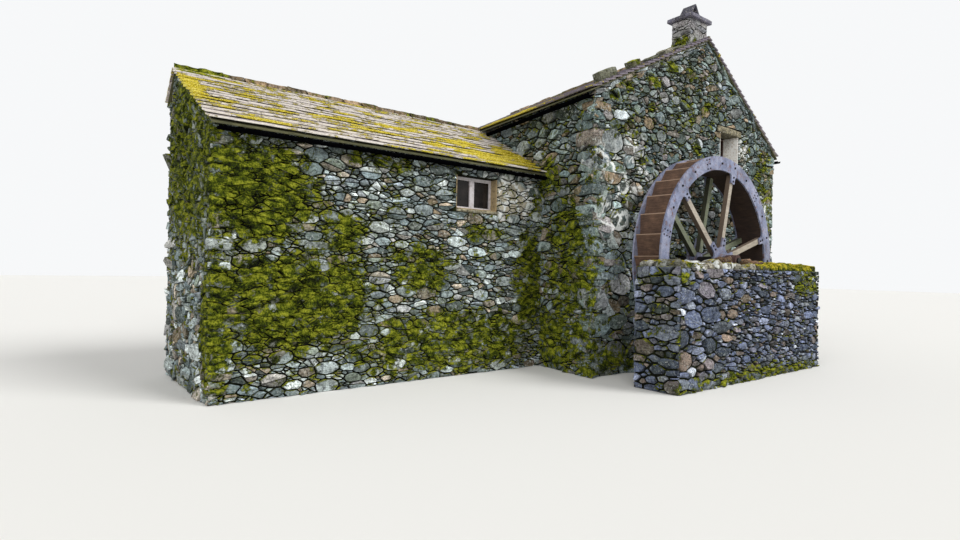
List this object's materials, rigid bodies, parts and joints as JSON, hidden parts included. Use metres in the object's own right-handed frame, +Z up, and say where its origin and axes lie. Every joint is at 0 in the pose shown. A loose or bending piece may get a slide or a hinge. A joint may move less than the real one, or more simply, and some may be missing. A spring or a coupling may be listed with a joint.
{
  "type": "stone watermill",
  "caption": "Small rubble stone watermill with slate roofs, a lower wing and an iron and timber bucket wheel that turns on the gable.",
  "frame": {"origin": "middle of the whole building's underside, at the lowest footing level", "axes": "+Z up, +X along the wheel gable from the wing towards the mill house, +Y from the wheel back into the house"},
  "size_m": [13.4576, 8.9474, 7.5],
  "materials": {
    "rubble_stone": "rough mossy rubble",
    "dressed_stone": "rough flat stone",
    "slate": "weathered slate",
    "ridge_stone": "weathered sandstone",
    "grey_iron": "worn grey iron",
    "black_iron": "black painted",
    "spoke_timber": "weathered timber",
    "board_timber": "wet brown timber",
    "floor_timber": "worn boards",
    "white_frame": "white painted timber",
    "brown_frame": "brown painted timber",
    "glass": "window glass"
  },
  "bodies": {
    "building": {"wheel_gable_wall": "rubble_stone", "rear_gable_wall": "rubble_stone", "left_side_wall": "rubble_stone", "right_side_wall": "rubble_stone", "mill_left_roof": "slate", "mill_right_roof": "slate", "mill_ridge_stones": "ridge_stone", "wing_front_wall": "rubble_stone", "wing_back_wall": "rubble_stone", "wing_end_wall": "rubble_stone", "wing_front_roof": "slate", "wing_back_roof": "slate", "wing_ridge_stones": "ridge_stone", "wing_gutter": "black_iron", "mill_left_gutters": "black_iron", "mill_right_gutter": "black_iron", "chimney_stack": "rubble_stone", "chimney_cap": "slate", "chimney_hood": "slate", "gable_window_lintel": "dressed_stone", "gable_window_frame": "brown_frame", "gable_window_glass": "glass", "rear_window_lintel": "dressed_stone", "rear_window_frame": "brown_frame", "rear_window_glass": "glass", "wing_window_frame": "white_frame", "wing_window_glass": "glass", "wing_window_sill": "dressed_stone", "plank_door": "brown_frame", "door_lintel": "dressed_stone", "ground_floor": "dressed_stone", "loft_floor": "floor_timber", "wing_floor": "floor_timber", "pit_wall": "rubble_stone", "pit_coping": "dressed_stone", "pit_return_wall": "rubble_stone", "outer_bearing": "black_iron", "inner_bearing": "black_iron"},
    "wheel": {"outer_shroud": "grey_iron", "inner_shroud": "grey_iron", "outer_hub": "grey_iron", "inner_hub": "grey_iron", "outer_spokes": "spoke_timber", "inner_spokes": "spoke_timber", "sole_boards": "board_timber", "buckets": "board_timber", "wheel_shaft": "black_iron"}
  },
  "joints": [
    {"name": "wheel_spin", "type": "hinge", "parent": "building", "child": "wheel", "pos_m": [1.71421, -3.36418, 2.061], "axis": [0, 1, 0], "continuous": true}
  ]
}
